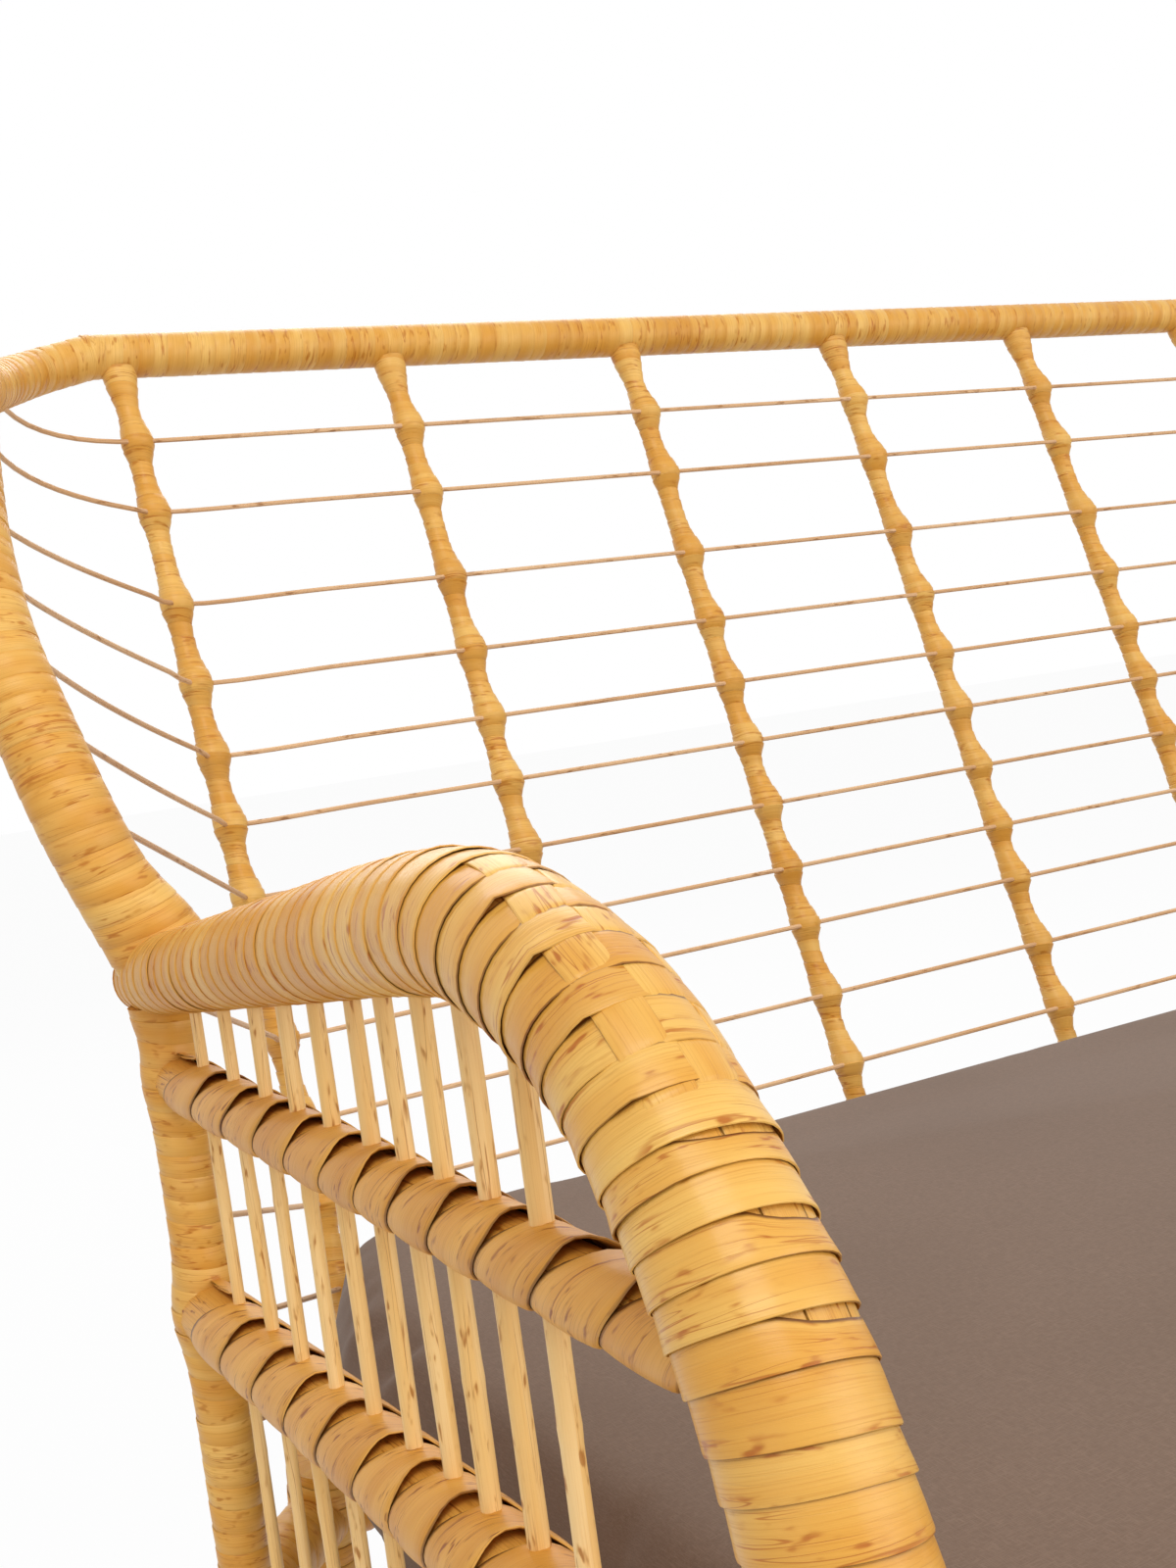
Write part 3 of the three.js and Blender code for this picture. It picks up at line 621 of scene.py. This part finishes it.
for index, x in enumerate(spoke_places):
    foot = back_foot + (x, 0, 0)
    spoke = Cane([foot, foot + spoke_length * back_up], back_front)
    parts = [
        tube(spoke, even(spoke_core), sides=10, rows=4),
        wound(spoke, even_seams(spoke_span, 0.0072, 0.0007, 31 + index), spoke_span, spoke_radius, spoke_peel,
              wander=0.0006, slices=20, swell=knot, seed=40 + index, section=slim_section),
    ]
    made(f"wound_spoke_{index + 1}", parts, rail_cane, "wrapped_cane", [f"spoke_{index + 1}"])

# Rods: thirteen thin peeled rods tied across the fronts of the spokes. Each runs on round both
# corners to the wing rails, where its ends are bound in.
rod_finish = cane_finish("thin_rod", linear(230, 190, 146), linear(214, 168, 122), linear(188, 138, 90),
                         linear(160, 110, 66), linear(120, 80, 48), 0.5)
rod_ends = np.array([(674.4, -76.6), (696.7, -148.3), (713.1, -193.4), (718.8, -206.6), (718.3, -213.3),
                     (711.4, -215.8), (702.5, -216.1), (686.9, -205.7), (679.9, -194.1), (684.9, -179.3),
                     (684.9, -165.0), (684.9, -150.4), (684.9, -135.9)]) / 1000
rod_bows = [(0.76, 0.07), (0.95, 0.35), (1.15, 0.72), (1.05, 0.84), (0.7, 0.58), (0.55, 0.5)]
rod_bows = rod_bows + [(0.5, 0.5)] * 7
rod_radius = 0.0014
bound_in = 0.012
start_x = 0.5967
start_y = -0.0082
share = np.linspace(1, 0, 16)[:, None]
over_back = np.stack([np.linspace(0.51, -0.51, 13), np.full(13, start_y)], axis=1)
rod_parts = []
for row, height in enumerate(rod_heights):
    end_x, end_y = rod_ends[row] + (bound_in, 0)
    out, ahead = rod_bows[row]
    bow = (start_x + (end_x - start_x) * out, start_y + (end_y - start_y) * ahead)
    wing_part = ((1 - share) ** 2 * (start_x, start_y) + 2 * share * (1 - share) * np.array(bow)
                 + share**2 * (end_x, end_y))
    plan = np.vstack([wing_part, over_back, (wing_part * (-1, 1))[::-1]])
    points = back_foot + plan[:, :1] * (1, 0, 0) - plan[:, 1:] * back_front + height * back_up
    rod = Cane(points, back_up, 400)
    rod_parts.append(tube(rod, even(rod_radius), sides=8, rows=120, seed=60 + row))
made("tied_rods", rod_parts, rod_finish, "thin_rod", ["back_rod_net", "left_rod_net", "right_rod_net"])

# Side posts: a wound cane under the tail of each arm, down to the side seat rail, thicker where the
# strips that tie the side rails to it are wound over it.
post_foot = 0.298
post_head = 0.573
post = Cane([(arm_plane, 0.088, post_foot), (arm_plane, 0.088, post_head)], (-1.0, 0.0, 0.0))


def post_radius(reach):
    """The wound cane's 11.4 mm, with a bell-shaped swelling at each of the two side rails that are tied to
    it, and a flare at its foot and at its head."""
    lower_joint = np.exp(-((reach - 0.143) / 0.017) ** 2) * 0.0035
    mid_joint = np.exp(-((reach - 0.243) / 0.014) ** 2) * 0.002
    flared_foot = 0.004 * smooth_step(0.02, 0.0, reach)
    flared_head = 0.003 * smooth_step(0.255, 0.275, reach)
    return 0.0114 + (lower_joint + mid_joint) + flared_foot + flared_head


post_parts = [
    tube(post, under(post_radius, rail_peel), rows=60),
    wound(post, even_seams((0, post.length), 0.0095, 0.0009, 23), (0, post.length), post_radius, rail_peel,
          wander=0.0007, slices=26, curl=0.0003, seed=8, section=slim_section,
          shows=lambda place: rail_seams_show),
]
made_pair("wound_{}_side_post", post_parts, rail_cane, "wrapped_cane", "{}_side_post")

# Mid and lower side rails: canes pierced by the sticks and bound with two wide strips, wound on a slant
# so that a seam falls at every stick. The strip behind a stick arches up and leaves a dark slot there.
stick_places = np.array([37.7, -2.5, -42.7, -76.6, -110.0, -145.8, -171.9, -201.4, -231.4, -263.4]) / 1000
band_section = np.array(((0.0, 0.3), (0.03, 0.8), (0.12, 1.0), (0.26, 1.0), (0.42, 1.0), (0.58, 1.0),
                         (0.72, 1.0), (0.84, 1.0), (0.92, 1.0), (0.98, 0.8), (1.0, 0.3), (0.95, 0.0),
                         (0.84, 0.0), (0.5, 0.0), (0.12, 0.0)))
band_peel = 0.0010
band_slices = 30
rail_rear = 0.0757
seam_lead = 0.007
past_rear = 0.013
# The bands' colours are a darker, more orange copy of the rail cane's: painted shade for the rails that lie
# under the arm.
shaded_band_finish = cane_finish("bound_cane_shaded", linear(232, 172, 82), linear(214, 148, 60), linear(178, 112, 38),
                          linear(140, 72, 18), linear(72, 34, 10), 0.46)


def banded(rail, seams, radius, seed):
    """Two strips wound side by side. A strip fills the space from one seam to the next and moves on by one
    stick in half a turn, from the outside over the top to the inside. Over the top its front edge stands
    off a stick and its rear edge draws back, which leaves the dark slot."""
    share, height = band_section.T
    number = np.arange(-3, len(seams) + 3)
    spread = np.concatenate([seams[0] - np.array([3 * 0.04, 2 * 0.04, 0.04]), seams,
                             seams[-1] + np.array([0.036, 0.072, 0.108])])
    parts = []
    for first in range(2):
        turns = np.arange(first - 2, len(seams) + 2, 2 / band_slices)[:, None]
        turn = -math.pi * ((turns - first) % 2)
        turn = (turn + math.pi) % (2 * math.pi) - math.pi
        back_edge = np.interp(turns, number, spread)
        front_edge = np.interp(turns + 1, number, spread)
        slot = np.exp(-((turn - 0.12) / 0.62) ** 2)
        place = back_edge + (front_edge - back_edge) * (share * 1.06 - 0.03)
        place = place - 0.0040 * slot * share**6 + 0.0035 * slot * (1 - share) ** 6
        place = pressed_in(place, -past_rear, rail.length)
        rise = band_peel * (height + 0.5 * (2 * share - 1))
        rise = rise + 0.0009 * (1 - (2 * share - 1) ** 2) + 0.0031 * slot * share**3
        rise = rise + 0.0014 * np.exp(-((turn + 0.1) / 0.5) ** 2) * np.exp(-((share - 0.12) / 0.16) ** 2)
        points = rail.place(place, turn, radius - band_peel * 1.5 + rise)
        across = np.append(share, share[0]) * 0.031
        along = turns * math.pi * radius * 1.15 + 3.1 * (first + seed)
        parts.append(sleeve(points, along, across, share))
    return parts


for level, radius, front_end, name in (
    (0.541, 0.0115, -0.354, "mid_rail"),
    (0.441, 0.0150, -0.384, "lower_rail"),
):
    rail = Cane([(arm_plane, rail_rear, level), (arm_plane, front_end, level)], (0.0, 0.0, 1.0))
    parts = banded(rail, rail_rear - (stick_places + seam_lead), radius, level)
    parts.append(tube(rail, even(radius - band_peel * 1.7), (-past_rear, rail.length), rows=4))
    made_pair("bound_{}_" + name, parts, shaded_band_finish, "wrapped_cane", "{}_" + name)

# Sticks: ten plain peeled canes a side, from the side seat rail up through the two rails into the arm.
# Each keeps its grain, a slight bow and two faint rings where leaves grew.
peeled_cane = cane_finish("peeled_cane", linear(252, 214, 150), linear(244, 198, 124), linear(222, 166, 92),
                          linear(176, 112, 50), linear(120, 70, 30), 0.45)
stick_foot = 0.304
head_inset = 0.0165
for index, y in enumerate(stick_places):
    head = np.interp(y, arm.line[::-1, 1], arm.line[::-1, 2]) - head_inset
    random = np.random.default_rng(100 + index)
    bow = random.uniform(-0.0012, 0.0012, 2)
    middle = (arm_plane + bow[0], y + bow[1], (stick_foot + head) / 2)
    stick = Cane([(arm_plane, y, stick_foot), middle, (arm_plane, y, head)], (0.0, -1.0, 0.0), 120)
    rings = random.uniform(0.03, 0.25, 2)

    def stick_radius(reach):
        """Thicker from stick to stick towards the front, with the two leaf rings and a slow wave."""
        grown = 0.00025 * np.exp(-((reach[..., None] - rings) / 0.0025) ** 2).sum(axis=-1)
        return 0.0024 + 0.0001 * index + grown + 0.00012 * np.sin(reach * 41 + index)

    parts = [tube(stick, stick_radius, sides=14, rows=60, seed=70 + index)]
    made_pair(f"{{}}_cane_stick_{index + 1}", parts, peeled_cane, "peeled_cane", f"{{}}_stick_{index + 1}")

# Seat rails and rear legs: the hidden frame under the cushion, of thick canes wound like the arms,
# with the rear legs splayed backwards.
frame_peel = 0.0006
seat_level = 0.29
seat_rail_radius = 0.016
rear_leg_radius = 0.018
front_rail_y = -0.396
rear_rail_y = 0.19894


def wound_frame_cane(points, upwards, radius, seed):
    """A cane of one radius through the points, wound from end to end."""
    cane = Cane(points, upwards)
    span = (0.0, cane.length)
    return [
        tube(cane, under(even(radius), frame_peel), rows=60),
        wound(cane, even_seams(span, 0.0118, 0.0009, seed), span, even(radius), frame_peel,
              wander=0.0007, slices=28, curl=0.0004, seed=seed, section=slim_section),
    ]


for name, half_length, y, seed in (("front", 0.689, front_rail_y, 12), ("rear", 0.622, rear_rail_y, 13)):
    line = [(-half_length, y, seat_level), (half_length, y, seat_level)]
    made(f"wound_{name}_seat_rail", wound_frame_cane(line, (0.0, 0.0, 1.0), seat_rail_radius, seed),
         wrapped_cane, "wrapped_cane", [f"{name}_seat_rail"])
side_rail = [(-0.7, -0.386, seat_level), (-0.7, 0.0325, seat_level), (-0.7, 0.088, seat_level),
             (-0.675, 0.147, seat_level), (-0.632, 0.196, seat_level)]
rear_leg = [(-0.63, 0.2913, 0.0083), (-0.63, 0.1884, 0.3222)]
side_rail_parts = wound_frame_cane(side_rail, (0.0, 0.0, 1.0), seat_rail_radius, 14)
rear_leg_parts = wound_frame_cane(rear_leg, (-1.0, 0.0, 0.0), rear_leg_radius, 15)
made_pair("wound_{}_seat_rail", side_rail_parts, wrapped_cane, "wrapped_cane", "{}_seat_rail")
made_pair("wound_{}_rear_leg", rear_leg_parts, wrapped_cane, "wrapped_cane", "{}_rear_leg")

# Slats: seven flat boards under the cushion, rounded at their edges and nailed down to the front and
# rear seat rails with two small nails at each end.
slat_wood, start = new_material("slat_wood")
strip = start.node("ShaderNodeUVMap", {"uv_map": "strip"}, {})
years = strip.stretched((3.0, 110.0, 1.0)).clouds(2.0)
pores = strip.stretched((30.0, 1500.0, 1.0)).clouds(2.0)
colour = years.between(0.35, 0.65).dyed(linear(206, 166, 112), linear(180, 134, 82))
colour = (pores.between(0.5, 0.75) * 0.5).dyed(colour, linear(140, 98, 58))
bump = start.node("ShaderNodeBump", {}, {"Strength": 0.3, "Distance": 0.0004, "Height": pores})
surface = start.node("ShaderNodeBsdfPrincipled", {}, {"Base Color": colour, "Roughness": pores * 0.15 + 0.55,
                                                      "Normal": bump})
start.node("ShaderNodeOutputMaterial", {}, {"Surface": surface})
slat_low = 0.3063
slat_high = 0.3183
slat_middle = (slat_low + slat_high) / 2
slat_half = 0.035
slat_front = -0.408
slat_rear = 0.211
nail_radius = 0.0035
nail_offset = 0.018


def squared(wave, power):
    """A wave between -1 and 1 whose size is raised to a power below 1, which squares a circle's shoulders."""
    return np.sign(wave) * np.abs(wave) ** power


def shrunk(offset, shrink):
    """Offsets from a board's middle, each brought nearer to it by the shrink, but not past it."""
    return offset - np.sign(offset) * np.minimum(shrink, np.abs(offset))


def nail_head(reach):
    """The nail's radius, less three tenths of the way past its first 0.8 mm, so that its rim is rounded."""
    return nail_radius - 0.3 * np.maximum(reach - 0.0008, 0)


turn = np.linspace(0, 2 * math.pi, 32, endpoint=False) + 0.01
from_end = np.array([0.0, 0.0006, 0.0025])
for index in range(7):
    x = 0.17 * (index - 3)
    board = Cane([(x, slat_front, slat_middle), (x, slat_rear, slat_middle)], (0.0, 0.0, 1.0))
    reach = np.concatenate([from_end, [0.3], board.length - from_end[::-1]])[:, None]
    shrink = np.array([0.0035, 0.001, 0.0, 0.0, 0.0, 0.001, 0.0035])[:, None]
    up = shrunk(squared(np.cos(turn), 0.4) * (slat_high - slat_low) / 2, shrink)
    side = shrunk(squared(np.sin(turn), 0.16) * slat_half, shrink)
    points = board.place(reach, np.arctan2(side, up), np.hypot(up, side))
    across = np.linspace(0, 2 * (2 * slat_half + slat_high - slat_low), len(turn) + 1)
    parts = [sleeve(points, reach + 1.7 * index, across, 0.0)]
    for y in (front_rail_y, rear_rail_y):
        for nail_x in (x - nail_offset, x + nail_offset):
            nail_line = [(nail_x, y, slat_high - 0.001), (nail_x, y, slat_high + 0.0002)]
            parts.append(tube(Cane(nail_line, (0.0, 1.0, 0.0), 8), nail_head, sides=12, rows=4))
    made(f"nailed_slat_{index + 1}", parts, slat_wood, "slat_wood", [f"seat_slat_{index + 1}"])

# Glides: a dark plastic disc pressed under each of the four feet, its lower edge rounded by wear.
glide_plastic, start = new_material("glide_plastic")
place = start.node("ShaderNodeTexCoord", {}, {}, 3)
speckle = place.stretched((900.0, 900.0, 900.0)).clouds(2.0)
scuffs = place.stretched((60.0, 240.0, 60.0)).clouds(2.0)
colour = scuffs.between(0.5, 0.8).dyed(linear(46, 41, 37), linear(78, 70, 62))
bump = start.node("ShaderNodeBump", {}, {"Strength": 0.25, "Distance": 0.0003, "Height": speckle})
surface = start.node("ShaderNodeBsdfPrincipled", {}, {"Base Color": colour, "Roughness": scuffs * 0.3 + 0.4,
                                                      "Normal": bump})
start.node("ShaderNodeOutputMaterial", {}, {"Surface": surface})
profile = np.array([(0.0002, 0.0118), (0.0009, 0.0134), (0.0022, 0.0140), (0.0060, 0.0140),
                    (0.0074, 0.0135), (0.0080, 0.0122)])
level = profile[:, :1]
breadth = profile[:, 1:]
turn = np.linspace(0, 2 * math.pi, 40, endpoint=False)
for name, x, y in (("front", -0.7, -0.396), ("rear", -0.63, 0.2939)):
    points = np.stack([x + breadth * np.cos(turn), y + breadth * np.sin(turn),
                       level + 0 * turn - 0.0002 * (level < 0.001)], axis=-1)
    parts = [sleeve(points, level, np.linspace(0, 0.088, 41), 0.0)]
    made_pair(f"pressed_{{}}_{name}_glide", parts, glide_plastic, "glide_plastic", f"{{}}_{name}_glide")

# Seat cushion: one loose foam cushion in a plain taupe cover, its rear corners cut back along the
# wings. A short cloth simulation fills its cover out, which is then held close to the foam's shape.
cushion_cloth, start = new_material("cushion_cloth")
place = start.node("ShaderNodeTexCoord", {}, {}, 3)
warp = place.stretched((260.0, 2600.0, 2600.0)).clouds(1.5)
weft = place.stretched((2600.0, 260.0, 2600.0)).clouds(1.5)
shade = place.stretched((9.0, 9.0, 9.0)).clouds(3.0)
threads = warp.worked("MAXIMUM", warp, weft)
colour = threads.between(0.4, 0.75).dyed(linear(112, 90, 74), linear(126, 103, 87))
colour = (shade.between(0.35, 0.75) * 0.25).dyed(colour, linear(102, 81, 66))
bump = start.node("ShaderNodeBump", {}, {"Strength": 0.3, "Distance": 0.0003, "Height": threads})
surface = start.node("ShaderNodeBsdfPrincipled", {}, {
    "Base Color": colour, "Roughness": 0.95, "Normal": bump, "Sheen Weight": 0.15, "Sheen Roughness": 0.5,
    "Specular IOR Level": 0.2})
start.node("ShaderNodeOutputMaterial", {}, {"Surface": surface})
foam_gives = np.array([0.0018, 0.0018, 0.0045])
cloth_steps = 20


def places_of(mesh):
    """The corners of a mesh, as rows of x, y and z."""
    places = np.empty(len(mesh.vertices) * 3)
    mesh.vertices.foreach_get("co", places)
    return places.reshape(-1, 3)


shell = bmesh.new()
shell.from_mesh(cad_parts["seat_cushion"].data)
bmesh.ops.remove_doubles(shell, verts=shell.verts, dist=0.00002)
bmesh.ops.recalc_face_normals(shell, faces=shell.faces)
cushion_mesh = bpy.data.meshes.new("seat_cushion_cover")
shell.to_mesh(cushion_mesh)
shell.free()
low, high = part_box("seat_cushion")
cushion = bpy.data.objects.new("seat_cushion_cover", cushion_mesh)
bpy.context.scene.collection.objects.link(cushion)
corners = places_of(cushion_mesh)
middle = np.array([0.0, (low.y + high.y) / 2, low.z])
corners = middle + (corners - middle) * (0.999, 0.999, 0.998)
cushion_mesh.vertices.foreach_set("co", corners.ravel())
remesh = cushion.modifiers.new("remesh", "REMESH")
remesh.mode = "VOXEL"
remesh.voxel_size = 0.007


def applied(piece):
    """The piece's mesh with its modifiers worked in."""
    bpy.context.view_layer.update()
    seen_now = piece.evaluated_get(bpy.context.evaluated_depsgraph_get())
    worked_in = bpy.data.meshes.new_from_object(seen_now)
    piece.modifiers.clear()
    piece.data = worked_in
    return worked_in


flat_mesh = applied(cushion)
flat = places_of(flat_mesh)
cloth = cushion.modifiers.new("cloth", "CLOTH")
cloth.settings.quality = 4
cloth.settings.use_pressure = True
cloth.settings.uniform_pressure_force = 4.0
cloth.settings.effector_weights.gravity = 0.0
cloth.settings.mass = 0.3
for step in range(1, cloth_steps + 1):
    bpy.context.scene.frame_set(step)
full_mesh = applied(cushion)
bpy.context.scene.frame_set(1)
full = places_of(full_mesh)
full = flat + foam_gives * np.tanh((full - flat) / foam_gives)
full[:, 2] = np.maximum(full[:, 2], low.z + 0.0002)
full[:, 0] = np.clip(full[:, 0], low.x - 0.003, high.x + 0.003)
full[:, 1] = np.clip(full[:, 1], low.y - 0.003, high.y + 0.001)
full_mesh.vertices.foreach_set("co", full.ravel())
full_mesh.polygons.foreach_set("use_smooth", [True] * len(full_mesh.polygons))
full_mesh.materials.clear()
full_mesh.materials.append(cushion_cloth)
finer = cushion.modifiers.new("finer", "SUBSURF")
finer.levels = finer.render_levels = 1
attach(cushion, "root")
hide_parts("seat_cushion")
